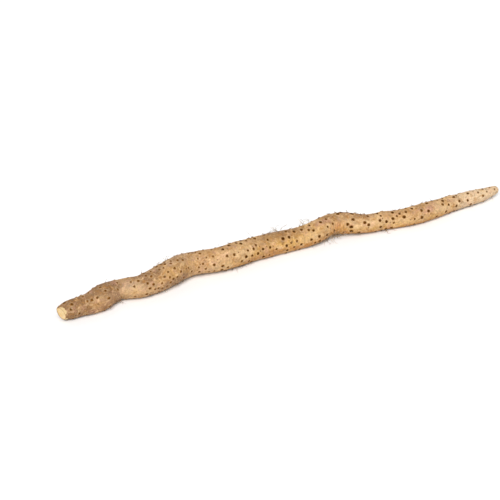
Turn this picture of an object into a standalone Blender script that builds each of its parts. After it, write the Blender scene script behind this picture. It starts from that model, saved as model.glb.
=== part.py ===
"""Chinese yam: one long, slender, slightly crooked tuber lying on its side.

+X runs along the tuber from the cut end to the growing tip, and +Z is up. The origin is at the bottom
centre of the bounding box. The tuber is one solid: a tube of varying girth swept along a crooked line,
closed by a flat oblique cut at one end and a blunt round tip at the other, with the low warts that
broken-off rootlets leave in its skin. Its belly is flattened where it rests.
"""

import math
import random

import bmesh
import bpy
from mathutils import Matrix, Vector, noise

MM = 0.001

# The tuber at stations from the cut end to the tip, in millimetres:
# distance along, sideways offset of the middle line, gap under the belly, diameter
STATIONS_MM = (
    (0, -0.6, 3.0, 17.0),
    (5, 0.6, 1.9, 20.2),
    (12, 1.2, 1.2, 22.5),
    (27, 1.5, 0.8, 24.0),
    (39, 0.5, 0.3, 27.0),
    (53, 2.5, 0.0, 29.8),
    (68, 9.0, 1.2, 26.4),
    (81, 11.0, 2.2, 23.6),
    (95, 6.8, 1.6, 25.3),
    (109, 3.0, 1.5, 27.0),
    (129, 3.5, 2.0, 30.0),
    (151, 8.0, 2.5, 31.0),
    (169, 13.5, 3.0, 31.0),
    (185, 15.0, 3.0, 30.0),
    (209, 11.0, 2.2, 30.0),
    (225, 9.0, 1.5, 31.5),
    (249, 11.0, 1.0, 31.0),
    (271, 13.0, 0.4, 30.0),
    (299, 12.0, 0.0, 30.0),
    (327, 10.0, 0.4, 28.0),
    (347, 8.0, 1.5, 27.5),
    (363, 8.5, 2.5, 28.5),
    (381, 12.5, 3.5, 27.5),
    (393, 13.0, 4.0, 27.0),
    (405, 9.5, 4.0, 27.0),
    (419, 3.0, 3.0, 26.5),
    (435, -2.0, 2.0, 24.5),
    (457, -5.0, 1.0, 24.0),
    (485, -10.0, 0.3, 24.0),
    (515, -13.0, 0.0, 26.0),
    (539, -12.0, 0.4, 24.5),
    (561, -10.0, 1.0, 22.5),
    (585, -9.2, 1.8, 20.5),
    (607, -9.5, 2.4, 19.0),
    (621, -9.2, 3.1, 17.0),
    (631, -8.6, 4.4, 14.5),
    (641, -7.8, 5.4, 12.2),
    (651, -7.3, 6.2, 10.8),
)
LENGTH = STATIONS_MM[-1][0] * MM

# Cross-section: a slow twist of slightly oval sections, with lumps of two sizes
OVAL_SHARE = 0.025
OVAL_TURNS = 2.3
LUMPS = ((28 * MM, 0.75 * MM), (11 * MM, 0.35 * MM))
LUMP_REFERENCE_RADIUS = 14 * MM
BELLY_ANGLE = math.radians(270)

# The cut is oblique: its plane leans by these slopes sideways and upwards, and the lean dies out inwards
CUT_LEAN_SIDEWAYS = -0.16
CUT_LEAN_UP = -0.07
CUT_LEAN_REACH = 30 * MM
RIM_ROUNDING = 1.2 * MM
RIM_SHARE = 0.93

TIP_ROUNDING = 8 * MM
TIP_RINGS = 5

# The belly is flattened by this much where it is lowest
BELLY_PRESS = 0.6 * MM

RING_STEP = 5 * MM
SEGMENTS = 26
SLOPE_REACH = 2 * MM
SHARP_ANGLE = math.radians(50)

# Warts left by rootlets: one at most in each cell between two rings and two segments, with a foot
# this much wider than its flat top, and kept apart by a distance drawn for each
WART_SEED = 7
WART_CHANCE = 0.26
WART_SPACING = (4.5 * MM, 9 * MM)
WART_RADIUS = (0.85 * MM, 1.3 * MM)
WART_FOOT = 1.2
WART_HEIGHT = (0.35 * MM, 0.7 * MM)
WART_SPARSE = (90 * MM, 600 * MM)
WART_SPARSE_SHARE = 0.6
WART_CROWDED = (112 * MM, 160 * MM)
WART_CROWDING = 2.0
WART_CROWDED_SPACING = 0.75
WART_FREE_END = 8 * MM
WART_CLEAR_OF_FLOOR = 2.5 * MM

SKIN_COLOUR = (0.60, 0.37, 0.19, 1.0)
SKIN_ROUGHNESS = 0.75


def clear_scene():
    for obj in list(bpy.data.objects):
        bpy.data.objects.remove(obj)


def hermite(before, start, end, after, column, along):
    """Smooth value between two stations, with slopes taken across their neighbours."""
    span = end[0] - start[0]
    share = (along - start[0]) / span
    slope_start = (end[column] - before[column]) / (end[0] - before[0]) * span
    slope_end = (after[column] - start[column]) / (after[0] - start[0]) * span
    square, cube = share**2, share**3
    return (
        (2 * cube - 3 * square + 1) * start[column]
        + (cube - 2 * square + share) * slope_start
        + (3 * square - 2 * cube) * end[column]
        + (cube - square) * slope_end
    )


def station_value(along, column):
    """A column of STATIONS_MM at a distance along the tuber, in metres."""
    along_mm = min(max(along, 0.0), LENGTH) / MM
    last = len(STATIONS_MM) - 1
    index = 0
    while index < last - 1 and STATIONS_MM[index + 1][0] < along_mm:
        index += 1
    before = STATIONS_MM[max(index - 1, 0)]
    after = STATIONS_MM[min(index + 2, last)]
    return hermite(before, STATIONS_MM[index], STATIONS_MM[index + 1], after, column, along_mm) * MM


def middle_line(along):
    """Middle of the section, high enough to leave the station's gap under the belly."""
    gap = station_value(along, 2)
    return Vector((along, station_value(along, 1), gap + swelling(along, BELLY_ANGLE)))


def section_frame(along):
    """Centre of the section, and its forward, sideways and upward directions."""
    forward = (middle_line(along + SLOPE_REACH) - middle_line(along - SLOPE_REACH)).normalized()
    sideways = Vector((-forward.y, forward.x, 0.0)).normalized()
    return middle_line(along), forward, sideways, forward.cross(sideways)


def lumps(along, angle):
    """Height of the lumps over the plain oval section."""
    place = Vector((along, LUMP_REFERENCE_RADIUS * math.cos(angle), LUMP_REFERENCE_RADIUS * math.sin(angle)))
    return sum(height * noise.noise(place / size) for size, height in LUMPS)


def rounding(along):
    """Share of the full radius left at the blunt tip and at the rim of the cut."""
    if along > LENGTH - TIP_ROUNDING:
        into = (along - (LENGTH - TIP_ROUNDING)) / TIP_ROUNDING
        return math.sqrt(max(0.0, 1.0 - into**2))
    if along < RIM_ROUNDING:
        return RIM_SHARE + (1.0 - RIM_SHARE) * math.sin(math.pi / 2 * along / RIM_ROUNDING)
    return 1.0


def swelling(along, angle):
    """Radius of the lumpy oval section before its ends are rounded."""
    oval = OVAL_SHARE * math.cos(2 * angle - 2 * math.pi * OVAL_TURNS * along / LENGTH)
    return station_value(along, 3) / 2 * (1.0 + oval) + lumps(along, angle)


def section_radius(along, angle):
    return swelling(along, angle) * rounding(along)


def surface_point(along, angle, rise=0.0):
    """A point of the skin, raised above it by rise."""
    centre, forward, sideways, upward = section_frame(along)
    radius = section_radius(along, angle) + rise
    side, up = radius * math.cos(angle), radius * math.sin(angle)
    fade = max(0.0, 1.0 - along / CUT_LEAN_REACH) ** 2
    lean = fade * (CUT_LEAN_SIDEWAYS * side + CUT_LEAN_UP * up)
    return centre + sideways * side + upward * up + forward * lean


def ring_distances():
    """Distances of the rings: close together at the rim and at the tip, even between them."""
    rim = [0.0, RIM_ROUNDING / 2, RIM_ROUNDING]
    body_end = LENGTH - TIP_ROUNDING
    count = round((body_end - RIM_ROUNDING) / RING_STEP)
    body = [RIM_ROUNDING + (body_end - RIM_ROUNDING) * i / count for i in range(1, count + 1)]
    tip = [
        body_end + TIP_ROUNDING * math.sin(math.pi / 2 * i / TIP_RINGS)
        for i in range(1, TIP_RINGS)
    ]
    return rim + body + tip


def between(limits, share):
    return limits[0] + (limits[1] - limits[0]) * share


def crowded(along):
    return WART_CROWDED[0] < along < WART_CROWDED[1]


def wart_chance(along):
    if along < WART_FREE_END or along > LENGTH - TIP_ROUNDING:
        return 0.0
    if crowded(along):
        return WART_CHANCE * WART_CROWDING
    if along < WART_SPARSE[0] or along > WART_SPARSE[1]:
        return WART_CHANCE * WART_SPARSE_SHARE
    return WART_CHANCE


def place_warts(rings):
    """Warts by cell, each as its distance along, angle, radius and height."""
    draw = random.Random(WART_SEED)
    turn = 2 * math.pi / SEGMENTS
    warts, taken = {}, []
    for ring in range(len(rings) - 1):
        for segment in range(SEGMENTS):
            chance, shift, twist, girth, height, room = (draw.random() for _ in range(6))
            start, end = rings[ring], rings[ring + 1]
            section = section_radius((start + end) / 2, segment * turn)
            radius = min(between(WART_RADIUS, girth), turn * section / (2 * WART_FOOT))
            margin, half_turn = WART_FOOT * radius, WART_FOOT * radius / section
            along = start + margin + (end - start - 2 * margin) * shift
            angle = segment * turn + half_turn + (turn - 2 * half_turn) * twist
            point = surface_point(along, angle)
            if chance > wart_chance(along) or point.z < WART_CLEAR_OF_FLOOR:
                continue
            spacing = between(WART_SPACING, room) * (WART_CROWDED_SPACING if crowded(along) else 1.0)
            if any((point - other).length < spacing for other in taken):
                continue
            taken.append(point)
            warts[ring, segment] = (along, angle, radius, between(WART_HEIGHT, height))
    return warts


def add_wart(mesh, corners, wart):
    """Replaces a plain cell by a four-sided wart: a raised top and four slopes to the cell's corners."""
    along, angle, radius, rise = wart
    half_turn = radius / section_radius(along, angle)
    top = [
        mesh.verts.new(surface_point(along + along_sign * radius, angle + turn_sign * half_turn, rise))
        for along_sign, turn_sign in ((-1, -1), (1, -1), (1, 1), (-1, 1))
    ]
    mesh.faces.new(top)
    for i in range(4):
        mesh.faces.new((corners[i], corners[i - 3], top[i - 3], top[i]))


def tuber_mesh():
    mesh = bmesh.new()
    rings = ring_distances()
    warts = place_warts(rings)
    turn = 2 * math.pi / SEGMENTS
    grid = [
        [mesh.verts.new(surface_point(along, segment * turn)) for segment in range(SEGMENTS)]
        for along in rings
    ]
    for ring in range(len(grid) - 1):
        for segment in range(SEGMENTS):
            beside = (segment + 1) % SEGMENTS
            corners = (
                grid[ring][segment],
                grid[ring + 1][segment],
                grid[ring + 1][beside],
                grid[ring][beside],
            )
            if (ring, segment) in warts:
                add_wart(mesh, corners, warts[ring, segment])
            else:
                mesh.faces.new(corners)
    mesh.faces.new(grid[0])
    tip = mesh.verts.new(surface_point(LENGTH, 0.0))
    for segment in range(SEGMENTS):
        mesh.faces.new((grid[-1][segment], tip, grid[-1][(segment + 1) % SEGMENTS]))
    bmesh.ops.recalc_face_normals(mesh, faces=mesh.faces)
    return mesh


def press_belly(mesh):
    """Flattens what hangs lowest, so that the tuber rests on flat spots and doesn't roll."""
    floor = min(vert.co.z for vert in mesh.verts) + BELLY_PRESS
    for vert in mesh.verts:
        vert.co.z = max(vert.co.z, floor)


def centre_on_floor(mesh):
    low = Vector([min(vert.co[axis] for vert in mesh.verts) for axis in range(3)])
    high = Vector([max(vert.co[axis] for vert in mesh.verts) for axis in range(3)])
    shift = Vector((-(low.x + high.x) / 2, -(low.y + high.y) / 2, -low.z))
    bmesh.ops.transform(mesh, matrix=Matrix.Translation(shift), verts=mesh.verts)


def skin_material():
    material = bpy.data.materials.new("skin")
    material.use_nodes = True
    shader = material.node_tree.nodes["Principled BSDF"]
    shader.inputs["Base Color"].default_value = SKIN_COLOUR
    shader.inputs["Roughness"].default_value = SKIN_ROUGHNESS
    shader.inputs["Metallic"].default_value = 0.0
    return material


def build_yam():
    mesh = tuber_mesh()
    press_belly(mesh)
    centre_on_floor(mesh)
    data = bpy.data.meshes.new("yam")
    mesh.to_mesh(data)
    mesh.free()
    data.shade_smooth()
    data.set_sharp_from_angle(angle=SHARP_ANGLE)
    data.materials.append(skin_material())
    yam = bpy.data.objects.new("yam", data)
    bpy.context.scene.collection.objects.link(yam)


clear_scene()
build_yam()
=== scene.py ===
import math
import random
from collections import namedtuple
from functools import lru_cache

import bpy
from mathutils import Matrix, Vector, kdtree, noise


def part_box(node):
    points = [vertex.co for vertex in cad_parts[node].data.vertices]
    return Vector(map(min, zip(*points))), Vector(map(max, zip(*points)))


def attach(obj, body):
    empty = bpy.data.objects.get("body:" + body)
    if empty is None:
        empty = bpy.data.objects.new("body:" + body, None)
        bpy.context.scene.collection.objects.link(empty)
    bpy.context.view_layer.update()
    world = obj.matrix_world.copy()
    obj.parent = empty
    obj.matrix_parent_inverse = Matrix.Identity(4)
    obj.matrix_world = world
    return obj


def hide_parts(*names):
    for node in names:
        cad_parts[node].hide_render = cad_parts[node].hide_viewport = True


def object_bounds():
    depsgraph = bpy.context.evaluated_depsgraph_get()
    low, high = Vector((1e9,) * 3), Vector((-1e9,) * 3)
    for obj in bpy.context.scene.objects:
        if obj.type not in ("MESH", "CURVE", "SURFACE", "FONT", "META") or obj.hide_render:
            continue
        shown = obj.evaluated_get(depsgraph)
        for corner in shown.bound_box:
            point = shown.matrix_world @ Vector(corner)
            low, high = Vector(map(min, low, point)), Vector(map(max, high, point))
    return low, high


# Looks of the chinese yam: a fine skin over the solid's form, the dark scars that rootlets left in it,
# the pale cut end and the dry rootlets that still hang on it. The form and the places of the scars
# follow the solid's own stations and its seeded rule, so everything sits where the solid says.

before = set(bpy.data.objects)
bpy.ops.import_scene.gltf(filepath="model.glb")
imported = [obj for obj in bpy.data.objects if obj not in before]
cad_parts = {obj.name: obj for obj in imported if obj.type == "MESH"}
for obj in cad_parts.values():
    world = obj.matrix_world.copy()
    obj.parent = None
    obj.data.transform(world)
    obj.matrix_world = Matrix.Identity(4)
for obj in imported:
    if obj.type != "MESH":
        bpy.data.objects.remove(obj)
CAD_LOW, CAD_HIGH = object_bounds()

MM = 0.001

# the solid's form, as in its source

# distance along, sideways offset of the middle line, gap under the belly, diameter
STATIONS_MM = (
    (0, -0.6, 3.0, 17.0),
    (5, 0.6, 1.9, 20.2),
    (12, 1.2, 1.2, 22.5),
    (27, 1.5, 0.8, 24.0),
    (39, 0.5, 0.3, 27.0),
    (53, 2.5, 0.0, 29.8),
    (68, 9.0, 1.2, 26.4),
    (81, 11.0, 2.2, 23.6),
    (95, 6.8, 1.6, 25.3),
    (109, 3.0, 1.5, 27.0),
    (129, 3.5, 2.0, 30.0),
    (151, 8.0, 2.5, 31.0),
    (169, 13.5, 3.0, 31.0),
    (185, 15.0, 3.0, 30.0),
    (209, 11.0, 2.2, 30.0),
    (225, 9.0, 1.5, 31.5),
    (249, 11.0, 1.0, 31.0),
    (271, 13.0, 0.4, 30.0),
    (299, 12.0, 0.0, 30.0),
    (327, 10.0, 0.4, 28.0),
    (347, 8.0, 1.5, 27.5),
    (363, 8.5, 2.5, 28.5),
    (381, 12.5, 3.5, 27.5),
    (393, 13.0, 4.0, 27.0),
    (405, 9.5, 4.0, 27.0),
    (419, 3.0, 3.0, 26.5),
    (435, -2.0, 2.0, 24.5),
    (457, -5.0, 1.0, 24.0),
    (485, -10.0, 0.3, 24.0),
    (515, -13.0, 0.0, 26.0),
    (539, -12.0, 0.4, 24.5),
    (561, -10.0, 1.0, 22.5),
    (585, -9.2, 1.8, 20.5),
    (607, -9.5, 2.4, 19.0),
    (621, -9.2, 3.1, 17.0),
    (631, -8.6, 4.4, 14.5),
    (641, -7.8, 5.4, 12.2),
    (651, -7.3, 6.2, 10.8),
)
LENGTH = STATIONS_MM[-1][0] * MM

OVAL_SHARE = 0.025
OVAL_TURNS = 2.3
LUMPS = ((28 * MM, 0.75 * MM), (11 * MM, 0.35 * MM))
LUMP_REFERENCE_RADIUS = 14 * MM
BELLY_ANGLE = math.radians(270)

CUT_LEAN_SIDEWAYS = -0.16
CUT_LEAN_UP = -0.07
CUT_LEAN_REACH = 30 * MM
RIM_ROUNDING = 1.2 * MM
RIM_SHARE = 0.93

TIP_ROUNDING = 8 * MM
TIP_RINGS = 5

RING_STEP = 5 * MM
SEGMENTS = 26
SLOPE_REACH = 2 * MM

WART_SEED = 7
WART_CHANCE = 0.26
WART_SPACING = (4.5 * MM, 9 * MM)
WART_RADIUS = (0.85 * MM, 1.3 * MM)
WART_FOOT = 1.2
WART_HEIGHT = (0.35 * MM, 0.7 * MM)
WART_SPARSE = (90 * MM, 600 * MM)
WART_SPARSE_SHARE = 0.6
WART_CROWDED = (112 * MM, 160 * MM)
WART_CROWDING = 2.0
WART_CROWDED_SPACING = 0.75
WART_FREE_END = 8 * MM
WART_CLEAR_OF_FLOOR = 2.5 * MM


def hermite(before, start, end, after, column, along):
    """Smooth value between two stations, with slopes taken across their neighbours."""
    span = end[0] - start[0]
    share = (along - start[0]) / span
    slope_start = (end[column] - before[column]) / (end[0] - before[0]) * span
    slope_end = (after[column] - start[column]) / (after[0] - start[0]) * span
    square, cube = share**2, share**3
    return (
        (2 * cube - 3 * square + 1) * start[column]
        + (cube - 2 * square + share) * slope_start
        + (3 * square - 2 * cube) * end[column]
        + (cube - square) * slope_end
    )


@lru_cache(maxsize=None)
def station_value(along, column):
    """A column of STATIONS_MM at a distance along the tuber, in metres."""
    along_mm = min(max(along, 0.0), LENGTH) / MM
    last = len(STATIONS_MM) - 1
    index = 0
    while index < last - 1 and STATIONS_MM[index + 1][0] < along_mm:
        index += 1
    before = STATIONS_MM[max(index - 1, 0)]
    after = STATIONS_MM[min(index + 2, last)]
    return hermite(before, STATIONS_MM[index], STATIONS_MM[index + 1], after, column, along_mm) * MM


def layered(place, layers):
    """Sum of noises, each of its own size and height."""
    return sum(height * noise.noise(place / size) for size, height in layers)


def lumps(along, angle):
    """Height of the lumps over the plain oval section."""
    place = Vector((along, LUMP_REFERENCE_RADIUS * math.cos(angle), LUMP_REFERENCE_RADIUS * math.sin(angle)))
    return layered(place, LUMPS)


def swelling(along, angle):
    """Radius of the lumpy oval section before its ends are rounded."""
    oval = OVAL_SHARE * math.cos(2 * angle - 2 * math.pi * OVAL_TURNS * along / LENGTH)
    return station_value(along, 3) / 2 * (1.0 + oval) + lumps(along, angle)


@lru_cache(maxsize=None)
def rounding(along):
    """Share of the full radius left at the blunt tip and at the rim of the cut."""
    if along > LENGTH - TIP_ROUNDING:
        into = (along - (LENGTH - TIP_ROUNDING)) / TIP_ROUNDING
        return math.sqrt(max(0.0, 1.0 - into**2))
    if along < RIM_ROUNDING:
        return RIM_SHARE + (1.0 - RIM_SHARE) * math.sin(math.pi / 2 * along / RIM_ROUNDING)
    return 1.0


def section_radius(along, angle):
    return swelling(along, angle) * rounding(along)


@lru_cache(maxsize=None)
def middle_line(along):
    """Middle of the section, high enough to leave the station's gap under the belly."""
    gap = station_value(along, 2)
    return Vector((along, station_value(along, 1), gap + swelling(along, BELLY_ANGLE)))


@lru_cache(maxsize=None)
def section_frame(along):
    """Centre of the section, and its forward, sideways and upward directions."""
    forward = (middle_line(along + SLOPE_REACH) - middle_line(along - SLOPE_REACH)).normalized()
    sideways = Vector((-forward.y, forward.x, 0.0)).normalized()
    return middle_line(along), forward, sideways, forward.cross(sideways)


def surface_point(along, angle, rise=0.0):
    """A point of the skin, raised above it by rise."""
    centre, forward, sideways, upward = section_frame(along)
    radius = section_radius(along, angle) + rise
    side, up = radius * math.cos(angle), radius * math.sin(angle)
    fade = max(0.0, 1.0 - along / CUT_LEAN_REACH) ** 2
    lean = fade * (CUT_LEAN_SIDEWAYS * side + CUT_LEAN_UP * up)
    return centre + sideways * side + upward * up + forward * lean


def even_rings(step):
    """Distances of rings from the cut's rim to the blunt tip, about a step apart."""
    reach = LENGTH - TIP_ROUNDING - RIM_ROUNDING
    count = round(reach / step)
    return [RIM_ROUNDING + reach * i / count for i in range(count + 1)]


def tip_rings(count):
    body_end = LENGTH - TIP_ROUNDING
    return [body_end + TIP_ROUNDING * math.sin(math.pi / 2 * i / count) for i in range(1, count)]


def solid_rings():
    """Distances of the solid's own rings."""
    return [0.0, RIM_ROUNDING / 2, *even_rings(RING_STEP), *tip_rings(TIP_RINGS)]


def between(limits, share):
    return limits[0] + (limits[1] - limits[0]) * share


def crowded(along):
    return WART_CROWDED[0] < along < WART_CROWDED[1]


def wart_chance(along):
    if along < WART_FREE_END or along > LENGTH - TIP_ROUNDING:
        return 0.0
    if crowded(along):
        return WART_CHANCE * WART_CROWDING
    if along < WART_SPARSE[0] or along > WART_SPARSE[1]:
        return WART_CHANCE * WART_SPARSE_SHARE
    return WART_CHANCE


def place_warts(rings):
    """The solid's warts, each as its distance along, angle, radius and height."""
    draw = random.Random(WART_SEED)
    turn = 2 * math.pi / SEGMENTS
    warts, taken = [], []
    for ring in range(len(rings) - 1):
        for segment in range(SEGMENTS):
            chance, shift, twist, girth, height, room = (draw.random() for _ in range(6))
            start, end = rings[ring], rings[ring + 1]
            section = section_radius((start + end) / 2, segment * turn)
            radius = min(between(WART_RADIUS, girth), turn * section / (2 * WART_FOOT))
            margin, half_turn = WART_FOOT * radius, WART_FOOT * radius / section
            along = start + margin + (end - start - 2 * margin) * shift
            angle = segment * turn + half_turn + (turn - 2 * half_turn) * twist
            point = surface_point(along, angle)
            if chance > wart_chance(along) or point.z < WART_CLEAR_OF_FLOOR:
                continue
            spacing = between(WART_SPACING, room) * (WART_CROWDED_SPACING if crowded(along) else 1.0)
            if any((point - other).length < spacing for other in taken):
                continue
            taken.append(point)
            warts.append((along, angle, radius, between(WART_HEIGHT, height)))
    return warts


def wart_tops(warts):
    for along, angle, radius, rise in warts:
        half_turn = radius / section_radius(along, angle)
        for along_sign, turn_sign in ((-1, -1), (1, -1), (1, 1), (-1, 1)):
            yield surface_point(along + along_sign * radius, angle + turn_sign * half_turn, rise)


def shift_to_solid(rings, warts):
    """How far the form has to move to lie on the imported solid."""
    turn = 2 * math.pi / SEGMENTS
    points = [surface_point(along, segment * turn) for along in rings for segment in range(SEGMENTS)]
    points += [surface_point(LENGTH, 0.0), *wart_tops(warts)]
    high = Vector([max(point[axis] for point in points) for axis in range(3)])
    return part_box("yam")[1] - high


RINGS = solid_rings()
WARTS = place_warts(RINGS)
SHIFT = shift_to_solid(RINGS, WARTS)
FLOOR_Z = 0.0

# how each scar differs

MARK_SEED = 21
# widths of plain and faint scars, as shares of the wart's radius
MARK_WIDTH = (1.46, 0.97)
# limits of each scar's own values
MARK_VARIES = (0.80, 1.06)
MARK_STRETCH = (0.84, 1.14)
MARK_RIM = (0.5, 1.3)
MARK_SLIP = (0.0, 0.30)
MARK_STUB = (0.1 * MM, 2.0 * MM)
MARK_LEAN = (0.0, 0.7)
# how light a scar may be, how much lighter the faint ones are, and where these lie
MARK_TINT = 0.42
FAINT_TINT = 0.4
FAINT_WARTS = (5 * MM, 220 * MM)
FAINT_FADE = 20 * MM

Mark = namedtuple("Mark", "width stretch rim slip turn stub lean tint")


def smooth(value):
    value = min(max(value, 0.0), 1.0)
    return value * value * (3.0 - 2.0 * value)


def draw_marks(warts):
    """Each scar's width and stretch, its rim's height, where its pit lies, its stub and its tint."""
    draw = random.Random(MARK_SEED)
    marks = []
    for along, _angle, radius, _rise in warts:
        faint = smooth((along - FAINT_WARTS[0]) / FAINT_FADE) * smooth((FAINT_WARTS[1] - along) / FAINT_FADE)
        marks.append(Mark(
            width=radius * between(MARK_WIDTH, faint) * draw.uniform(*MARK_VARIES),
            stretch=draw.uniform(*MARK_STRETCH),
            rim=draw.uniform(*MARK_RIM),
            slip=draw.uniform(*MARK_SLIP),
            turn=draw.uniform(0.0, 2 * math.pi),
            stub=between(MARK_STUB, draw.random() ** 2),
            lean=draw.uniform(*MARK_LEAN),
            tint=MARK_TINT * draw.random() + FAINT_TINT * faint,
        ))
    return marks


MARKS = draw_marks(WARTS)

# fine relief of the skin

SKIN_STEP = 0.775 * MM
SKIN_SEGMENTS = 116
SKIN_RIM_RINGS = 4
SKIN_TIP_RINGS = 14

SWELLS = ((9 * MM, 0.28 * MM), (3.4 * MM, 0.12 * MM))
WRINKLE_ALONG = 1.9 * MM
WRINKLE_AROUND = 11 * MM
WRINKLE_HEIGHT = 0.12 * MM
WRINKLE_PATCHES = 22 * MM
WRINKLE_MEAN = 0.55
WRINKLE_SWING = 1.1

# the mound under a scar: reach of its top and foot in wart radii, share of the wart's height
COLLAR_TOP = 0.6
COLLAR_FOOT = 2.5
COLLAR_SHARE = 0.8
# where a scar's edge lies in scar widths, and how far from it the skin is marked
SCAR_EDGE = 1.08
SCAR_REACH = 6 * MM


def straightened(along, angle, radius):
    """Place on the tuber as if it were straight, so that patterns run evenly over it."""
    return Vector((along, radius * math.cos(angle), radius * math.sin(angle)))


def scar_tree(warts):
    tree = kdtree.KDTree(len(warts))
    for index, (along, angle, _radius, _rise) in enumerate(warts):
        tree.insert(straightened(along, angle, section_radius(along, angle)), index)
    tree.balance()
    return tree


SCARS = scar_tree(WARTS)


def collar(place):
    """Height of the low mounds that carry the scars."""
    height = 0.0
    for _centre, index, distance in SCARS.find_range(place, COLLAR_FOOT * WART_RADIUS[1]):
        _along, _angle, radius, rise = WARTS[index]
        down = (distance / radius - COLLAR_TOP) / (COLLAR_FOOT - COLLAR_TOP)
        height = max(height, COLLAR_SHARE * rise * smooth(1.0 - down))
    return height


def relief(place):
    """Fine height of the skin over the solid's form at a straightened place."""
    cross = Vector((place.x / WRINKLE_ALONG, place.y / WRINKLE_AROUND, place.z / WRINKLE_AROUND))
    strength = smooth(WRINKLE_MEAN + WRINKLE_SWING * noise.noise(place / WRINKLE_PATCHES))
    return layered(place, SWELLS) + WRINKLE_HEIGHT * strength * noise.noise(cross) + collar(place)


def skin_rings():
    """Distances of the rings of the fine skin."""
    rim = [RIM_ROUNDING * i / SKIN_RIM_RINGS for i in range(SKIN_RIM_RINGS)]
    return rim + even_rings(SKIN_STEP) + tip_rings(SKIN_TIP_RINGS)


def on_skin(along, angle, rise=0.0):
    """A point of the fine skin in the row's frame, and its straightened place."""
    place = straightened(along, angle, section_radius(along, angle))
    point = surface_point(along, angle, relief(place) * rounding(along) + rise) + SHIFT
    point.z = max(point.z, FLOOR_Z)
    return point, place


# patches of colour, some of them painted shade and painted light

# distance along in mm, angle round in degrees (90 is up, 180 faces front), reach along in mm,
# reach round in degrees, which colour, strength
PATCHES = (
    # brown blots: at the cut end and along the top, about 85 to 135 degrees round, they are partly dirt and
    # partly painted shade
    (5, 150, 28, 360, "brown", 1.60),
    (26, 96, 34, 46, "brown", 0.90),
    (48, 120, 32, 200, "brown", 0.50),
    (66, 90, 34, 56, "brown", 0.60),
    (76, 198, 28, 26, "brown", 0.32),
    (118, 108, 20, 60, "brown", 1.00),
    (108, 212, 14, 26, "brown", 0.30),
    # a painted shadow on the lower flank
    (146, 200, 20, 30, "brown", 0.85),
    (160, 135, 15, 45, "brown", 0.35),
    # another painted shadow on the lower flank
    (160, 215, 14, 24, "brown", 0.30),
    (180, 96, 20, 34, "brown", 0.26),
    (296, 112, 24, 44, "brown", 0.60),
    (328, 106, 26, 38, "brown", 0.62),
    (390, 102, 22, 38, "brown", 0.72),
    (428, 98, 24, 26, "brown", 0.52),
    (512, 104, 12, 30, "brown", 0.42),
    # dust blots: those along the top are partly dust and partly painted shade
    (80, 130, 30, 70, "dust_and_shade", 0.50),
    (98, 128, 17, 42, "dust_and_shade", 0.55),
    (128, 90, 22, 44, "dust_and_shade", 0.55),
    (164, 85, 26, 60, "dust_and_shade", 0.60),
    (170, 190, 20, 60, "brown", 0.20),
    (540, 130, 12, 50, "dust_and_shade", 0.20),
    (108, 150, 9, 30, "cream", 0.60),
    # this cream blot is painted light on the lower flank
    (208, 196, 16, 26, "cream", 0.60),
    (222, 160, 14, 60, "cream", 0.40),
    (246, 160, 15, 46, "cream", 0.85),
    (345, 160, 12, 30, "cream", 0.60),
    (372, 165, 16, 36, "cream", 0.55),
    (424, 155, 16, 50, "cream", 0.65),
    (455, 150, 20, 36, "cream", 0.50),
    (496, 168, 24, 30, "cream", 0.60),
    (546, 154, 14, 40, "cream", 1.10),
    (288, 178, 10, 22, "pink", 0.20),
    (60, 180, 18, 40, "pink", 0.45),
    (128, 200, 16, 40, "pink", 0.45),
    (200, 180, 16, 50, "pink", 0.30),
    (370, 110, 10, 26, "pink", 0.80),
    (396, 150, 8, 26, "pink", 0.45),
    (523, 134, 9, 26, "pink", 1.00),
    (508, 190, 7, 18, "pink", 0.20),
    (562, 125, 9, 24, "pink", 0.30),
    # ochre and gold blots: those on the lower flank, about 185 to 225 degrees round, are painted warm shade
    # and bounce light; the others are the skin's own tints
    (25, 215, 34, 34, "ochre", 0.40),
    (38, 172, 16, 26, "ochre", 0.40),
    (60, 225, 16, 26, "ochre", 0.45),
    (96, 100, 18, 30, "ochre", 0.40),
    (120, 225, 30, 24, "ochre", 0.30),
    (150, 140, 30, 50, "gold", 0.35),
    (238, 200, 22, 26, "gold", 0.90),
    (262, 184, 26, 34, "gold", 0.70),
    (300, 138, 22, 50, "gold", 0.80),
    (326, 166, 24, 44, "gold", 1.00),
    (356, 130, 26, 60, "gold", 0.55),
    (388, 170, 18, 60, "gold", 0.80),
    (432, 196, 30, 34, "gold", 0.80),
    (486, 196, 30, 34, "gold", 0.80),
    (540, 186, 22, 40, "gold", 0.80),
    # broad ochre and gold bands along the lower flank: painted warm shade and bounce light
    (262, 204, 26, 26, "ochre", 0.75),
    (320, 205, 130, 26, "ochre", 0.30),
    (340, 212, 130, 24, "gold", 0.60),
    (300, 196, 18, 26, "ochre", 0.70),
    (344, 206, 30, 26, "ochre", 0.80),
    (384, 108, 16, 28, "ochre", 0.45),
    (390, 192, 20, 46, "ochre", 0.95),
    (436, 224, 36, 24, "ochre", 0.80),
    (486, 224, 34, 24, "ochre", 0.80),
    (545, 222, 34, 24, "ochre", 0.60),
    # the side that the photograph doesn't show
    (90, 330, 26, 50, "ochre", 0.50),
    (150, 350, 22, 40, "pink", 0.50),
    (215, 320, 30, 50, "dust_and_shade", 0.50),
    (250, 20, 26, 40, "gold", 0.60),
    (290, 350, 24, 40, "ochre", 0.60),
    (330, 20, 20, 40, "pink", 0.50),
    (370, 20, 20, 60, "cream", 0.45),
    (410, 330, 30, 45, "ochre", 0.60),
    (440, 40, 26, 40, "gold", 0.60),
    (470, 10, 20, 40, "dust_and_shade", 0.45),
    (520, 330, 22, 40, "pink", 0.55),
    (550, 20, 24, 40, "gold", 0.50),
    (590, 350, 20, 40, "ochre", 0.35),
)
PATCH_WARP_SIZE = 13 * MM
PATCH_WARP = 0.55
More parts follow.
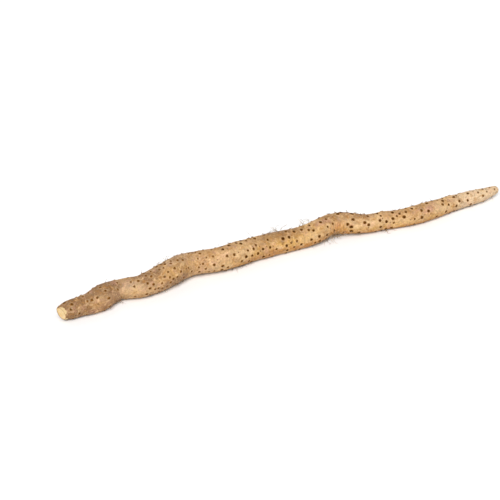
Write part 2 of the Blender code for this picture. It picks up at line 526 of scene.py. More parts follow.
# dimension, step and octaves of the warp
PATCH_FRACTAL = (0.8, 2.0, 3)
PATCH_REACH = 2.5
PATCH_EDGE = 1.35
PALE_TIP = (556 * MM, 582 * MM)
PALE_RAGGED = 0.35
CUT_STAIN = 1.3 * MM
CUT_STAIN_SIZE = 2.2 * MM
CUT_STAIN_EDGE = 1.6
CUT_STAIN_RAGGED = 0.8
# where skin is torn off at the cut: angle round in degrees, reach along, reach round in degrees
PEELS = ((122, 2.6 * MM, 44), (236, 2.2 * MM, 30))
PEEL_RAGGED = 0.28
PEEL_EDGE = 1.5


def turned_from(degrees, angle):
    """How far an angle is turned from those degrees, between -180 and 180."""
    return (math.degrees(angle) - degrees + 180) % 360 - 180


def peel_strength(place, along, angle):
    """Share of the skin that is torn off the flesh beside the cut."""
    ragged = PEEL_RAGGED * noise.noise(place / CUT_STAIN_SIZE)
    nearest = min(
        math.hypot(along / reach, turned_from(degrees, angle) / round_reach)
        for degrees, reach, round_reach in PEELS
    )
    return smooth(PEEL_EDGE - nearest + ragged)


def patch_strength(place, along, angle, kind):
    """Strength of one colour at a place: ragged blots, added up."""
    warp = PATCH_WARP * noise.fractal(place / PATCH_WARP_SIZE, *PATCH_FRACTAL)
    total = 0.0
    for centre, degrees, reach, round_reach, colour, strength in PATCHES:
        if colour != kind:
            continue
        offset = (along / MM - centre) / reach
        if abs(offset) > PATCH_REACH:
            continue
        distance = math.hypot(offset, turned_from(degrees, angle) / round_reach)
        total += strength * smooth(PATCH_EDGE - distance + warp)
    return min(total, 1.0)


# mesh helpers


def make_piece(name, points, faces):
    data = bpy.data.meshes.new(name)
    data.from_pydata([point[:] for point in points], [], faces)
    data.shade_smooth()
    piece = bpy.data.objects.new(name, data)
    bpy.context.scene.collection.objects.link(piece)
    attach(piece, "root")
    return piece


def add_attribute(piece, name, values):
    """A number, a vector or a colour for each point, by the count of values."""
    share = len(values) // len(piece.data.vertices)
    kind, key = {1: ("FLOAT", "value"), 3: ("FLOAT_VECTOR", "vector"), 4: ("FLOAT_COLOR", "color")}[share]
    layer = piece.data.attributes.new(name, kind, "POINT")
    layer.data.foreach_set(key, values)


def add_map(piece, places):
    """Gives each face's corners their places on the map named OFBake."""
    layer = piece.data.uv_layers.new(name="OFBake")
    layer.uv.foreach_set("vector", [value for place in places for value in place])


# The skin's bake map: the skin unrolled in strips that lie one above the other,
# with the end behind the cut in a corner. Gap and corner are shares of the map.
MAP_STRIPS = 3
MAP_GAP = 0.003
MAP_CORNER = 0.03


def strip_place(row, ring, segment, rows):
    """Place on the map of a corner of a face in that row."""
    reach = math.ceil(rows / MAP_STRIPS)
    strip = row // reach
    height = (1.0 - MAP_CORNER) / MAP_STRIPS
    along = (ring - strip * reach) / reach
    around = 1.0 - segment / SKIN_SEGMENTS
    across = between((MAP_GAP, 1.0 - MAP_GAP), along)
    return across, height * strip + between((MAP_GAP, height - MAP_GAP), around)


def corner_place(segment):
    """Place on the map of a corner of the end face."""
    turned = 2 * math.pi * segment / SKIN_SEGMENTS
    reach = MAP_CORNER / 2 - MAP_GAP
    return MAP_CORNER / 2 - reach * math.cos(turned), 1.0 - MAP_CORNER / 2 + reach * math.sin(turned)


def map_skin(skin, rows):
    """Lays out the map, face by face in the order of build_skin."""
    places = [corner_place(segment) for segment in reversed(range(SKIN_SEGMENTS))]
    for row in range(rows - 1):
        for segment in range(SKIN_SEGMENTS):
            corners = ((row, segment + 1), (row + 1, segment + 1), (row + 1, segment), (row, segment))
            places += [strip_place(row, *corner, rows) for corner in corners]
    for segment in range(SKIN_SEGMENTS):
        corners = ((rows - 1, segment + 1), (rows, segment + 0.5), (rows - 1, segment))
        places += [strip_place(rows - 1, *corner, rows) for corner in corners]
    add_map(skin, places)


def build_skin():
    distances = skin_rings()
    turn = 2 * math.pi / SKIN_SEGMENTS
    points, straight, zones, stains_and_shade, gold, scar, peel = [], [], [], [], [], [], []

    def add(along, angle):
        point, place = on_skin(along, angle)
        points.append(point)
        straight.extend(place)
        ragged = PALE_RAGGED * noise.noise(place / PATCH_WARP_SIZE)
        pale = smooth((along - PALE_TIP[0]) / (PALE_TIP[1] - PALE_TIP[0]) + ragged)
        kinds = [patch_strength(place, along, angle, kind) for kind in ("ochre", "pink", "cream")]
        zones.extend((*kinds, 1.0))
        ragged = CUT_STAIN_RAGGED * noise.noise(place / CUT_STAIN_SIZE)
        rim = smooth(CUT_STAIN_EDGE - along / CUT_STAIN + ragged)
        # brown holds the stain at the cut's rim and the brown blots, which along the top are partly painted
        # shade
        brown = max(rim, patch_strength(place, along, angle, "brown"))
        stains_and_shade.extend((patch_strength(place, along, angle, "dust_and_shade"), brown, pale))
        gold.append(patch_strength(place, along, angle, "gold"))
        _centre, index, distance = SCARS.find(place)
        scar.append(min(distance - SCAR_EDGE * MARKS[index].width, SCAR_REACH) / MM)
        peel.append(peel_strength(place, along, angle))

    for along in distances:
        for segment in range(SKIN_SEGMENTS):
            add(along, segment * turn)
    add(LENGTH, 0.0)
    tip = len(points) - 1
    faces = [tuple(reversed(range(SKIN_SEGMENTS)))]
    for ring in range(len(distances) - 1):
        start, onward = ring * SKIN_SEGMENTS, (ring + 1) * SKIN_SEGMENTS
        for segment in range(SKIN_SEGMENTS):
            beside = (segment + 1) % SKIN_SEGMENTS
            faces.append((start + beside, onward + beside, onward + segment, start + segment))
    last = (len(distances) - 1) * SKIN_SEGMENTS
    for segment in range(SKIN_SEGMENTS):
        faces.append((last + (segment + 1) % SKIN_SEGMENTS, tip, last + segment))
    skin = make_piece("skin", points, faces)
    add_attribute(skin, "straight", straight)
    add_attribute(skin, "zones", zones)
    add_attribute(skin, "stains_and_shade", stains_and_shade)
    add_attribute(skin, "gold", gold)
    add_attribute(skin, "scar", scar)
    add_attribute(skin, "peel", peel)
    map_skin(skin, len(distances))
    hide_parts("yam")
    return skin


# scars

# how far stubs and rootlets may pass the solid's box
BOX_MARGIN = Vector((0.0, 0.8 * MM, 0.4 * MM))
SCAR_SIDES = 18
# share of the scar's radius and height over the skin: a sunken skirt, a raised rim and a pit
SCAR_PROFILE = (
    (1.34, -0.25 * MM),
    (1.14, -0.03 * MM),
    (0.97, 0.12 * MM),
    (0.78, 0.24 * MM),
    (0.58, 0.17 * MM),
    (0.38, 0.03 * MM),
    (0.20, 0.00 * MM),
)
# share of the scar's radius and share of the stub's height
STUB_PROFILE = ((0.12, 0.75), (0.0, 1.0))
SCAR_LOBES = ((1.5, 0.26), (4.2, 0.16))
SCAR_CRUMBS = ((0.45 * MM, 0.06 * MM), (0.9 * MM, 0.07 * MM))
SCAR_CRUMBS_END = 1.1
# step between scars in the noise that shapes their edges
SCAR_RAY_STEP = 3.7
# On its map each scar is a disc in a cell of its own, its middle drawn larger to give the stub room,
# and its hidden base is a small circle in the cell's corner. Middles and radii are shares of the cell.
SCAR_CELLS = math.ceil(math.sqrt(len(WARTS)))
SCAR_DISC = (0.5, 0.47)
SCAR_BASE = (0.93, 0.055)


def local_directions(along, angle):
    """Directions along the tuber, round it and out of it at a place of the skin."""
    _centre, forward, sideways, upward = section_frame(along)
    outward = sideways * math.cos(angle) + upward * math.sin(angle)
    around = upward * math.cos(angle) - sideways * math.sin(angle)
    return forward, around, outward


def scar_points(number):
    """The rings of one scar, skirt to middle: each point, its straightened place, share and ray."""
    along, angle, _radius, _rise = WARTS[number]
    mark = MARKS[number]
    section = section_radius(along, angle)
    rim = [(share, height * (mark.rim if height > 0 else 1.0), 0.0) for share, height in SCAR_PROFILE]
    stub = [(share, height * mark.stub, height * mark.stub * mark.lean) for share, height in STUB_PROFILE]
    rows = []
    for share, height, lean in rim + stub:
        sides = SCAR_SIDES if share else 1
        for side in range(sides):
            direction = 2 * math.pi * side / sides
            ray = Vector((math.cos(direction), math.sin(direction), SCAR_RAY_STEP * number))
            lobes = 1.0 + sum(lobe * noise.noise(ray * fineness) for fineness, lobe in SCAR_LOBES)
            reach = mark.width * share * lobes
            slip = mark.width * mark.slip * max(0.0, 1.0 - share) + lean
            place_along = along + mark.stretch * (reach * ray.x + slip * math.cos(mark.turn))
            place_angle = angle + (reach * ray.y + slip * math.sin(mark.turn)) / mark.stretch / section
            straight = straightened(place_along, place_angle, section)
            crumbs = layered(straight, SCAR_CRUMBS) * (share < SCAR_CRUMBS_END)
            point, place = on_skin(place_along, place_angle, height + crumbs)
            point.y = min(max(point.y, CAD_LOW.y - BOX_MARGIN.y), CAD_HIGH.y + BOX_MARGIN.y)
            point.z = min(point.z, CAD_HIGH.z + BOX_MARGIN.z)
            rows.append((point, place, share, ray if share else Vector((0.0, 0.0, ray.z))))
    return rows


def scar_place(number, circle, share, side):
    """Place on the map of a point of a scar, at that share of a circle's radius."""
    row, column = divmod(number, SCAR_CELLS)
    middle, radius = circle
    direction = 2 * math.pi * side / SCAR_SIDES
    across = column + middle + radius * share * math.cos(direction)
    return across / SCAR_CELLS, (row + middle - radius * share * math.sin(direction)) / SCAR_CELLS


def map_scars(scars):
    """Lays out the map, face by face in the order of build_scars."""
    shares = [math.sqrt(share / SCAR_PROFILE[0][0]) for share, _height in SCAR_PROFILE + STUB_PROFILE]
    places = []
    for number in range(len(WARTS)):
        for outer, inner in zip(shares, shares[1:]):
            for side in range(SCAR_SIDES):
                corners = [(outer, side), (inner, side), (inner, side + 1), (outer, side + 1)]
                if not inner:
                    corners[1:3] = [(inner, side)]
                places += [scar_place(number, SCAR_DISC, *corner) for corner in corners]
        places += [scar_place(number, SCAR_BASE, 1.0, -side) for side in range(SCAR_SIDES)]
    add_map(scars, places)


def build_scars():
    """A scar on each wart: a low ragged crust with a pit and the stub of its rootlet."""
    points, faces, shares, tints, places, rays = [], [], [], [], [], []
    for number in range(len(WARTS)):
        first = len(points)
        for point, place, share, ray in scar_points(number):
            points.append(point)
            places.extend(place)
            shares.append(share)
            tints.append(MARKS[number].tint)
            rays.extend(ray)
        middle = len(points) - 1
        rings = len(SCAR_PROFILE) + len(STUB_PROFILE) - 1
        for ring in range(rings):
            start = first + ring * SCAR_SIDES
            for side in range(SCAR_SIDES):
                beside = (side + 1) % SCAR_SIDES
                if ring + 1 < rings:
                    inner = start + SCAR_SIDES
                    faces.append((start + side, inner + side, inner + beside, start + beside))
                else:
                    faces.append((start + side, middle, start + beside))
        faces.append(tuple(first + side for side in range(SCAR_SIDES)))
    scars = make_piece("root_scars", points, faces)
    add_attribute(scars, "tint", tints)
    add_attribute(scars, "share", shares)
    add_attribute(scars, "straight", places)
    add_attribute(scars, "ray", rays)
    map_scars(scars)
    return scars


# the cut end

FLESH_SIDES = 72
FLESH_SHARES = (1.0, 0.985, 0.95, 0.9, 0.83, 0.75, 0.66, 0.56, 0.46, 0.36, 0.26, 0.16, 0.07)
FLESH_PROUD = 0.18 * MM
FLESH_LIP = 0.05
FLESH_DEPTH = 2.5 * MM
FLESH_BACK = 0.9
FLESH_RELIEF = 0.16 * MM
FLESH_RELIEF_END = 0.99
FLESH_RIPPLES = ((3.2 * MM, 1.0), (1.1 * MM, 0.5))
FLESH_BROWN_SIDE = math.radians(325)
FLESH_BROWN_WIDTH = 0.30


def build_flesh():
    """The cut face: a thin plug of flesh that fills the rim of the skin."""
    _centre, forward, _sideways, _upward = section_frame(0.0)
    centre = middle_line(0.0)
    turn = 2 * math.pi / FLESH_SIDES
    rim = [surface_point(0.0, side * turn) - centre for side in range(FLESH_SIDES)]
    points, faces, edges = [], [], []

    def add(offset, edge, depth):
        points.append(centre + offset + forward * depth + SHIFT)
        edges.append(edge)

    add(Vector(), 1.0, FLESH_DEPTH)
    for offset in rim:
        add(offset * FLESH_BACK, 1.0, FLESH_DEPTH)
    for share in FLESH_SHARES:
        for side, offset in enumerate(rim):
            place = offset * share
            ripple = layered(place, FLESH_RIPPLES) * (share < FLESH_RELIEF_END)
            depth = -FLESH_PROUD * smooth((1.0 - share) / FLESH_LIP) + FLESH_RELIEF * ripple
            brown = max(0.0, math.cos(side * turn - FLESH_BROWN_SIDE)) ** 3
            add(place, share + FLESH_BROWN_WIDTH * brown * share**2, depth)
    add(Vector(), 0.0, -FLESH_PROUD)
    rings = len(FLESH_SHARES) + 1
    for side in range(FLESH_SIDES):
        beside = (side + 1) % FLESH_SIDES
        faces.append((0, 1 + side, 1 + beside))
        for ring in range(rings - 1):
            start = 1 + ring * FLESH_SIDES
            onward = start + FLESH_SIDES
            faces.append((start + side, onward + side, onward + beside, start + beside))
        start = 1 + (rings - 1) * FLESH_SIDES
        faces.append((start + side, len(points) - 1, start + beside))
    flesh = make_piece("cut_flesh", points, faces)
    add_attribute(flesh, "edge", edges)
    return flesh


# dry rootlets

ROOTLET_SEED = 5
ROOTLET_SIDES = 3
ROOTLET_RADIUS = (0.15 * MM, 0.32 * MM)
ROOTLET_TAPER = 0.65
ROOTLET_STEP = 1.3 * MM
ROOTLET_LEAST_STEPS = 4
ROOTLET_CLEAR = 0.25 * MM
ROOTLET_CLEAR_SHARE = 1.03
ROOTLET_SUNK = 0.3 * MM
# how far a rootlet leans along the tuber and round it
ROOTLET_FORWARD = (-0.9, 0.9)
ROOTLET_AROUND = (-0.7, 0.7)
# its curl at first, what each step adds, and the share that is left of it
ROOTLET_SWIRL = 0.30
ROOTLET_WANDER = 0.20
ROOTLET_CALM = 0.85
ROOTLET_DROOP = Vector((0.0, 0.0, -0.10))
# how near the box's edge it turns back, and how firmly it dips
ROOTLET_TURN_ROOM = 4 * MM
ROOTLET_DIP = 0.1
# how many from any scar, and their lengths
STRAY_ROOTLETS = (150, (1.6 * MM, 6 * MM))
# tufts: distance along and angle round, their spreads, how many, lengths
TUFTS = (
    (305 * MM, 60, 20 * MM, 26, 20, (7 * MM, 22 * MM)),
    (350 * MM, 55, 14 * MM, 24, 14, (6 * MM, 18 * MM)),
    (385 * MM, 222, 26 * MM, 34, 36, (7 * MM, 20 * MM)),
    (150 * MM, 60, 18 * MM, 24, 10, (4 * MM, 12 * MM)),
    (76 * MM, 225, 9 * MM, 30, 10, (4 * MM, 12 * MM)),
    (250 * MM, 235, 30 * MM, 24, 10, (4 * MM, 12 * MM)),
    (470 * MM, 240, 30 * MM, 26, 8, (4 * MM, 12 * MM)),
    (205 * MM, 350, 30 * MM, 40, 14, (4 * MM, 14 * MM)),
    (430 * MM, 20, 20 * MM, 40, 14, (5 * MM, 16 * MM)),
)


def keep_free(point):
    """Pushes a rootlet's point out of the tuber, and keeps it over the floor and near the solid's box."""
    along = min(max(point.x - SHIFT.x, 0.0), LENGTH)
    centre = middle_line(round(along / MM) * MM) + SHIFT
    offset = Vector((0.0, point.y - centre.y, point.z - centre.z))
    angle = math.atan2(offset.z, offset.y)
    least = section_radius(along, angle) * ROOTLET_CLEAR_SHARE + ROOTLET_CLEAR
    if offset.length < least:
        point.yz = centre.yz + offset.normalized().yz * least
    point.z = min(max(point.z, ROOTLET_CLEAR), CAD_HIGH.z + BOX_MARGIN.z)
    return point


def any_way(draw):
    """A vector of random direction and length."""
    return Vector([draw.gauss(0, 1) for _ in range(3)])


def rootlet_path(draw, along, angle, length):
    forward, around, outward = local_directions(along, angle)
    point, _place = on_skin(along, angle, -ROOTLET_SUNK)
    heading = outward + forward * draw.uniform(*ROOTLET_FORWARD) + around * draw.uniform(*ROOTLET_AROUND)
    swirl = any_way(draw) * ROOTLET_SWIRL
    path = [point]
    for _ in range(max(ROOTLET_LEAST_STEPS, round(length / ROOTLET_STEP))):
        swirl += any_way(draw) * ROOTLET_WANDER
        swirl *= ROOTLET_CALM
        heading = heading.normalized() + swirl + ROOTLET_DROOP
        room = CAD_HIGH.z + BOX_MARGIN.z - point.z
        if heading.z > 0 and room < ROOTLET_TURN_ROOM:
            heading.z *= max(0.0, room / ROOTLET_TURN_ROOM) ** 0.5 - ROOTLET_DIP
        for side, limit in ((1, CAD_HIGH.y), (-1, CAD_LOW.y)):
            room = (limit - point.y) * side
            if heading.y * side > 0 and room < ROOTLET_TURN_ROOM:
                heading.y *= max(0.0, room / ROOTLET_TURN_ROOM)
        heading.normalize()
        point = keep_free(point + heading * ROOTLET_STEP)
        path.append(point)
    return path


def tube(path, radius, points, faces):
    """A tapering tube of three sides that ends in a point."""
    first = len(points)
    across = Vector((0.0, 0.0, 1.0))
    for index, point in enumerate(path[:-1]):
        tangent = (path[index + 1] - path[max(index - 1, 0)]).normalized()
        across = (across - tangent * across.dot(tangent)).normalized()
        if across.length < 0.5:
            across = tangent.orthogonal().normalized()
        binormal = tangent.cross(across)
        girth = radius * (1.0 - ROOTLET_TAPER * index / len(path))
        for side in range(ROOTLET_SIDES):
            direction = 2 * math.pi * side / ROOTLET_SIDES
            points.append(point + (across * math.cos(direction) + binormal * math.sin(direction)) * girth)
    points.append(path[-1])
    end = len(points) - 1
    faces.append(tuple(first + side for side in reversed(range(ROOTLET_SIDES))))
    for index in range(len(path) - 2):
        start = first + index * ROOTLET_SIDES
        onward = start + ROOTLET_SIDES
        for side in range(ROOTLET_SIDES):
            beside = (side + 1) % ROOTLET_SIDES
            faces.append((start + side, start + beside, onward + beside, onward + side))
    start = end - ROOTLET_SIDES
    for side in range(ROOTLET_SIDES):
        faces.append((start + side, start + (side + 1) % ROOTLET_SIDES, end))


def build_rootlets():
    draw = random.Random(ROOTLET_SEED)
    starts = []
    count, lengths = STRAY_ROOTLETS
    for _ in range(count):
        along, angle, _radius, _rise = draw.choice(WARTS)
        starts.append((along, angle, draw.uniform(*lengths)))
    for along, degrees, spread, round_spread, count, lengths in TUFTS:
        for _ in range(count):
            place = min(max(draw.gauss(along, spread / 2), WART_FREE_END), LENGTH - 2 * TIP_ROUNDING)
            angle = math.radians(draw.gauss(degrees, round_spread / 2))
            starts.append((place, angle, draw.uniform(*lengths)))
    points, faces, tints = [], [], []
    for along, angle, length in starts:
        if surface_point(along, angle).z + SHIFT.z < WART_CLEAR_OF_FLOOR / 2:
            continue
        before = len(points)
        tube(rootlet_path(draw, along, angle, length), draw.uniform(*ROOTLET_RADIUS), points, faces)
        tints.extend([draw.random()] * (len(points) - before))
    rootlets = make_piece("rootlets", points, faces)
    add_attribute(rootlets, "tint", tints)
    return rootlets


# materials

DOT_FADE = 0.25
# sockets of the mix node that carry colours
MIX_BELOW, MIX_ABOVE, MIX_RESULT = 6, 7, 2


class Shader:
    """Builds one Principled material, node by node."""

    def __init__(self, name):
        self.material = bpy.data.materials.new(name)
        self.material.use_nodes = True
        self.tree = self.material.node_tree
        self.surface = self.tree.nodes["Principled BSDF"]

    def node(self, kind, inputs, **settings):
        made = self.tree.nodes.new(kind)
        for name, value in settings.items():
            setattr(made, name, value)
        self.set(made, inputs)
        return made

    def set(self, node, inputs):
        for key, value in inputs.items():
            if isinstance(value, bpy.types.NodeSocket):
                self.tree.links.new(value, node.inputs[key])
            else:
                node.inputs[key].default_value = value

    def attribute(self, name, output="Vector"):
        return self.node("ShaderNodeAttribute", {}, attribute_name=name).outputs[output]

    def scaled(self, vector, factors):
        made = self.node("ShaderNodeVectorMath", {0: vector, 1: factors}, operation="MULTIPLY")
        return made.outputs["Vector"]

    def noise(self, vector, size, detail=2.0, roughness=0.5, distortion=0.0):
        inputs = {
            "Vector": vector, "Scale": 1.0 / size, "Detail": detail,
            "Roughness": roughness, "Distortion": distortion,
        }
        return self.node("ShaderNodeTexNoise", inputs).outputs["Fac"]

    def spread(self, value, low, high, to_low=0.0, to_high=1.0):
        """Maps low..high to to_low..to_high, clamped and eased."""
        inputs = {"Value": value, "From Min": low, "From Max": high, "To Min": to_low, "To Max": to_high}
        return self.node("ShaderNodeMapRange", inputs, interpolation_type="SMOOTHSTEP").outputs["Result"]

    def math(self, operation, first, second=0.0):
        return self.node("ShaderNodeMath", {0: first, 1: second}, operation=operation).outputs["Value"]

    def mix(self, share, below, above):
        made = self.node("ShaderNodeMix", {"Factor": share}, data_type="RGBA")
        for socket, value in ((MIX_BELOW, below), (MIX_ABOVE, above)):
            self.set(made, {socket: value if isinstance(value, bpy.types.NodeSocket) else (*value, 1.0)})
        return made.outputs[MIX_RESULT]

    def dots(self, vector, size, reach, core, rarity):
        """Round dots, one at most in each cell of that size; the rarer, the higher the rarity."""
        cells = self.node("ShaderNodeTexVoronoi", {"Vector": vector, "Scale": 1.0 / size, "Randomness": 1.0})
        drawn = self.node("ShaderNodeSeparateColor", {"Color": cells.outputs["Color"]}).outputs["Red"]
        round_dot = self.spread(cells.outputs["Distance"], reach, core)
        present = self.spread(drawn, rarity, min(rarity + DOT_FADE, 1.0))
        return self.math("MULTIPLY", round_dot, present)

    def swung(self, value, *parts):
        """A value, plus each noise's swing about its middle times its weight."""
        for pattern, weight in parts:
            swing = self.math("MULTIPLY", self.math("SUBTRACT", pattern, 0.5), weight)
            value = self.math("ADD", value, swing)
        return value

    def dimmed(self, colour, factor):
        made = self.node("ShaderNodeVectorMath", {0: colour, "Scale": factor}, operation="SCALE")
        return made.outputs["Vector"]

    def bump(self, height, strength, distance):
        made = self.node("ShaderNodeBump", {"Height": height, "Strength": strength, "Distance": distance})
        return made.outputs["Normal"]


TAN = (0.505, 0.280, 0.114)
LIGHT_TAN = (0.605, 0.372, 0.166)
# GOLD and OCHRE also serve as painted warm shade and bounce light on the lower flank
GOLD = (0.645, 0.362, 0.088)
OCHRE = (0.510, 0.218, 0.042)
PINK = (0.470, 0.240, 0.160)
CREAM = (0.695, 0.476, 0.254)
DUST_AND_SHADE = (0.400, 0.278, 0.178)
BROWN = (0.240, 0.122, 0.050)
PALE = (0.740, 0.550, 0.350)
SCAR_HALO = (0.245, 0.100, 0.017)
SPECK = (0.170, 0.070, 0.014)
FLESH_DARK = (0.740, 0.510, 0.230)
FLESH_PALE = (0.800, 0.600, 0.330)
FLESH_FIBRE = (0.600, 0.390, 0.160)
FLESH_EDGE = (0.420, 0.240, 0.090)
SCAR_DARK = (0.045, 0.013, 0.001)
SCAR_LIGHT = (0.210, 0.084, 0.013)
SCAR_CLUMP = (0.230, 0.105, 0.028)
SCAR_GRAIN = (0.150, 0.058, 0.010)
SCAR_CRACK = (0.030, 0.010, 0.002)
SCAR_PIT = (0.085, 0.042, 0.018)
STUB = (0.240, 0.150, 0.075)
ROOTLET_DARK = (0.210, 0.125, 0.060)
ROOTLET_LIGHT = (0.560, 0.420, 0.260)
ROOTLET_STREAK = (0.300, 0.190, 0.100)
FLOOR_TONES = ((0.91, 0.91, 0.91), (0.93, 0.93, 0.93))


def skin_material():
    shader = Shader("yam_skin")
    place = shader.attribute("straight")
    zones = shader.node("ShaderNodeSeparateColor", {"Color": shader.attribute("zones", "Color")})
    stains_and_shade = shader.node("ShaderNodeSeparateXYZ", {"Vector": shader.attribute("stains_and_shade")})
    gold = shader.attribute("gold", "Fac")
    scar = shader.attribute("scar", "Fac")

    # each noise: place, size, detail, roughness, distortion
    clouds = shader.noise(place, 30 * MM, 3.0, 0.6)
    hues = shader.noise(shader.scaled(place, (1.0, 1.3, 1.3)), 9 * MM, 4.0, 0.6, 0.6)
    blotches = shader.noise(place, 6.5 * MM, 5.0, 0.6, 0.4)
    flecks = shader.noise(place, 2.4 * MM, 5.0, 0.62)
    grain = shader.noise(place, 0.9 * MM, 4.0, 0.65)
    fibres = shader.noise(shader.scaled(place, (1.0, 0.3, 0.3)), 0.28 * MM, 3.0, 0.6)
    cross = shader.noise(shader.scaled(place, (1.0, 0.12, 0.12)), 1.7 * MM, 3.0, 0.55, 0.25)
    crease = shader.spread(shader.math("ABSOLUTE", shader.math("SUBTRACT", cross, 0.5)), 0.030, 0.0)

    colour = shader.mix(shader.spread(clouds, 0.38, 0.62), TAN, LIGHT_TAN)
    # blot colours over the skin: the ochre and gold ones on the lower flank are painted warm shade and
    # bounce light, the brown and dust ones along the top partly painted shade
    for patch, weight, above in (
        (gold, 0.80, GOLD),
        (zones.outputs["Red"], 0.85, OCHRE),
        (zones.outputs["Green"], 0.70, PINK),
        (zones.outputs["Blue"], 0.70, CREAM),
        (stains_and_shade.outputs["X"], 0.75, DUST_AND_SHADE),
        (stains_and_shade.outputs["Y"], 0.90, BROWN),
        (stains_and_shade.outputs["Z"], 0.85, PALE),
    ):
        colour = shader.mix(shader.math("MULTIPLY", patch, weight), colour, above)
    for pattern, low, high, weight, above in (
        (hues, 0.53, 0.64, 0.48, PINK),
        (hues, 0.48, 0.36, 0.52, OCHRE),
        (blotches, 0.53, 0.66, 0.50, CREAM),
        (blotches, 0.46, 0.34, 0.30, DUST_AND_SHADE),
        (flecks, 0.55, 0.70, 0.30, CREAM),
    ):
        colour = shader.mix(shader.spread(pattern, low, high, 0.0, weight), colour, above)
    colour = shader.mix(shader.math("MULTIPLY", crease, 0.30), colour, BROWN)
    tone = shader.swung(1.0, (hues, 0.7), (blotches, 0.6), (flecks, 1.0), (grain, 0.9), (fibres, 0.6))
    colour = shader.dimmed(colour, tone)

    dot = shader.dots(place, 5.5 * MM, 0.19, 0.12, 0.38)
    colour = shader.mix(shader.math("MULTIPLY", dot, 0.85), colour, SPECK)
    pores = shader.dots(place, 1.3 * MM, 0.16, 0.06, 0.55)
    colour = shader.mix(shader.math("MULTIPLY", pores, 0.55), colour, SPECK)

    ragged = shader.swung(scar, (flecks, 1.8), (grain, 1.6))
    ring = shader.math("MULTIPLY", shader.spread(ragged, 2.6, 1.5), shader.spread(ragged, 0.6, 1.2))
    colour = shader.mix(shader.math("MULTIPLY", ring, 0.22), colour, CREAM)
    colour = shader.mix(shader.spread(ragged, 1.15, -0.25, 0.0, 0.88), colour, SCAR_HALO)

    torn = shader.swung(shader.attribute("peel", "Fac"), (grain, 0.5))
    colour = shader.mix(shader.spread(torn, 0.22, 0.40, 0.0, 0.7), colour, SPECK)
    bare = shader.spread(torn, 0.42, 0.52)
    colour = shader.mix(bare, colour, shader.dimmed(shader.mix(flecks, FLESH_DARK, FLESH_PALE), 0.86))

    height = shader.swung(1.0, (cross, 0.50), (flecks, 0.80), (grain, 0.50), (fibres, 0.15))
    for hollow, depth in ((crease, 0.06), (pores, 0.08), (bare, 0.20)):
        height = shader.math("SUBTRACT", height, shader.math("MULTIPLY", hollow, depth))
    shader.set(shader.surface, {
        "Base Color": colour,
        "Roughness": shader.spread(flecks, 0.25, 0.75, 0.78, 0.60),
        "Specular IOR Level": 0.30,
        "Normal": shader.bump(height, 0.8, 1.4 * MM),
    })
    return shader.material


def scar_material():
    shader = Shader("root_scar")
    place = shader.attribute("straight")
    tint = shader.attribute("tint", "Fac")
    share = shader.attribute("share", "Fac")
    clumps = shader.noise(place, 0.9 * MM, 3.0, 0.6)
    grain = shader.noise(place, 0.40 * MM, 4.0, 0.65)
    cracks = shader.noise(shader.attribute("ray"), 0.30, 2.0, 0.6)
    colour = shader.mix(tint, SCAR_DARK, SCAR_LIGHT)
    ragged = shader.swung(share, (grain, 1.0), (clumps, 0.8))
    for pattern, low, high, weight, above in (
        (clumps, 0.50, 0.66, 0.45, SCAR_CLUMP),
        (grain, 0.50, 0.72, 0.45, SCAR_GRAIN),
        (cracks, 0.46, 0.36, 0.55, SCAR_CRACK),
        (ragged, 0.80, 1.12, 1.0, SCAR_HALO),
        (share, 0.19, 0.13, 1.0, SCAR_PIT),
        (share, 0.10, 0.00, 0.6, STUB),
    ):
        colour = shader.mix(shader.spread(pattern, low, high, 0.0, weight), colour, above)
    height = shader.swung(1.0, (clumps, 0.8), (grain, 0.6), (cracks, 0.35))
    shader.set(shader.surface, {
        "Base Color": colour,
        "Roughness": shader.spread(grain, 0.3, 0.7, 0.92, 0.80),
        "Specular IOR Level": 0.04,
        "Normal": shader.bump(height, 0.8, 0.8 * MM),
    })
    return shader.material


def flesh_material():
    shader = Shader("yam_flesh")
    place = shader.node("ShaderNodeTexCoord", {}).outputs["Object"]
    fibres = shader.noise(place, 0.8 * MM, 3.0, 0.6)
    clouds = shader.noise(place, 4.5 * MM, 3.0, 0.6)
    colour = shader.mix(shader.spread(clouds, 0.40, 0.62), FLESH_DARK, FLESH_PALE)
    colour = shader.mix(shader.spread(fibres, 0.50, 0.66, 0.0, 0.45), colour, FLESH_FIBRE)
    edge = shader.swung(shader.attribute("edge", "Fac"), (clouds, 0.16))
    colour = shader.mix(shader.spread(edge, 0.86, 0.97, 0.0, 0.80), colour, FLESH_EDGE)
    shader.set(shader.surface, {
        "Base Color": colour,
        "Roughness": shader.spread(fibres, 0.3, 0.7, 0.5, 0.66),
        "Specular IOR Level": 0.4,
        "Subsurface Weight": 0.15,
        "Subsurface Radius": (0.9, 0.5, 0.25),
        "Subsurface Scale": 1.5 * MM,
        "Normal": shader.bump(fibres, 0.4, 0.15 * MM),
    })
    return shader.material


def rootlet_material():
    shader = Shader("rootlet")
    place = shader.node("ShaderNodeTexCoord", {}).outputs["Object"]
    tint = shader.attribute("tint", "Fac")
    streaks = shader.noise(place, 1.2 * MM, 2.0, 0.6)
    colour = shader.mix(shader.spread(tint, 0.15, 0.9), ROOTLET_DARK, ROOTLET_LIGHT)
    colour = shader.mix(shader.spread(streaks, 0.45, 0.65, 0.0, 0.5), colour, ROOTLET_STREAK)
    shader.set(shader.surface, {
        "Base Color": colour,
        "Roughness": shader.spread(streaks, 0.3, 0.7, 0.85, 0.65),
        "Specular IOR Level": 0.25,
    })
    return shader.material


def floor_material():
    shader = Shader("studio_floor")
    place = shader.node("ShaderNodeTexCoord", {}).outputs["Object"]
    colour = shader.mix(shader.noise(place, 0.6, 2.0, 0.5), *FLOOR_TONES)
    shader.set(shader.surface, {"Base Color": colour, "Roughness": 0.9, "Specular IOR Level": 0.1})
    return shader.material


# stage

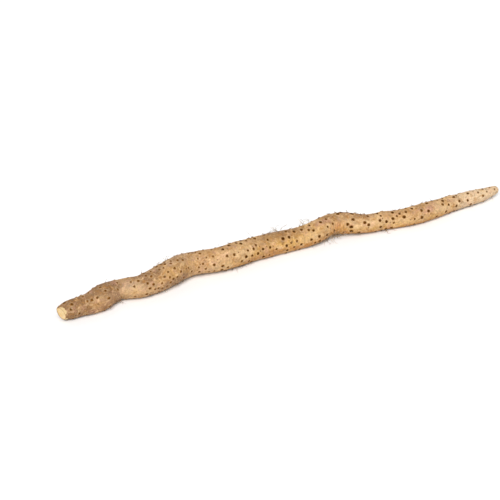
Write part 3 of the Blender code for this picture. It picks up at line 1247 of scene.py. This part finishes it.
FLOOR_HALF = 30.0
FLOOR_GAP = 0.02 * MM
CAMERA_PLACE = Vector((-0.8819, -1.4083, 0.9621))
CAMERA_AZIMUTH = math.radians(-30)
CAMERA_ELEVATION = math.radians(30)
CAMERA_LENS = 106.9
CAMERA_SENSOR = 36.0
CAMERA_CLIP = (0.05, 100.0)
CAMERA_SLIDE = 5.2 * MM


def build_floor():
    corners = [(x * FLOOR_HALF, y * FLOOR_HALF, 0) for x, y in ((-1, -1), (1, -1), (1, 1), (-1, 1))]
    data = bpy.data.meshes.new("floor")
    data.from_pydata(corners, [], [(0, 1, 2, 3)])
    floor = bpy.data.objects.new("floor", data)
    floor.location.z = CAD_LOW.z - FLOOR_GAP
    bpy.context.scene.collection.objects.link(floor)
    data.materials.append(floor_material())


def build_camera():
    data = bpy.data.cameras.new("camera")
    data.lens = CAMERA_LENS
    data.sensor_width = CAMERA_SENSOR
    data.clip_start, data.clip_end = CAMERA_CLIP
    camera = bpy.data.objects.new("camera", data)
    flat = math.cos(CAMERA_ELEVATION)
    looking = Vector((
        -math.sin(CAMERA_AZIMUTH) * flat, math.cos(CAMERA_AZIMUTH) * flat, -math.sin(CAMERA_ELEVATION)
    ))
    right = Vector((math.cos(CAMERA_AZIMUTH), math.sin(CAMERA_AZIMUTH), 0.0))
    camera.location = CAMERA_PLACE + right * CAMERA_SLIDE
    camera.rotation_mode = "QUATERNION"
    camera.rotation_quaternion = looking.to_track_quat("-Z", "Y")
    bpy.context.scene.collection.objects.link(camera)
    bpy.context.scene.camera = camera


# azimuth and elevation it shines from, strength, width; angles in degrees
SUNS = (
    (-40, 45, 2.80, 30),
    (25, 60, 0.60, 50),
    (165, 35, 0.50, 60),
)
SKY = 0.30


def build_lights():
    for number, (azimuth, elevation, strength, width) in enumerate(SUNS):
        data = bpy.data.lights.new(f"sun_{number}", "SUN")
        data.energy = strength
        data.angle = math.radians(width)
        sun = bpy.data.objects.new(f"sun_{number}", data)
        around, up = math.radians(azimuth), math.radians(elevation)
        source = Vector((math.sin(around) * math.cos(up), -math.cos(around) * math.cos(up), math.sin(up)))
        sun.rotation_mode = "QUATERNION"
        sun.rotation_quaternion = (-source).to_track_quat("-Z", "Y")
        bpy.context.scene.collection.objects.link(sun)
    world = bpy.data.worlds.new("studio")
    world.use_nodes = True
    background = world.node_tree.nodes["Background"]
    background.inputs["Color"].default_value = (1.0, 1.0, 1.0, 1.0)
    background.inputs["Strength"].default_value = SKY
    bpy.context.scene.world = world
    bpy.context.scene.view_settings.view_transform = "Standard"


build_skin().data.materials.append(skin_material())
build_scars().data.materials.append(scar_material())
build_flesh().data.materials.append(flesh_material())
build_rootlets().data.materials.append(rootlet_material())
build_floor()
build_camera()
build_lights()
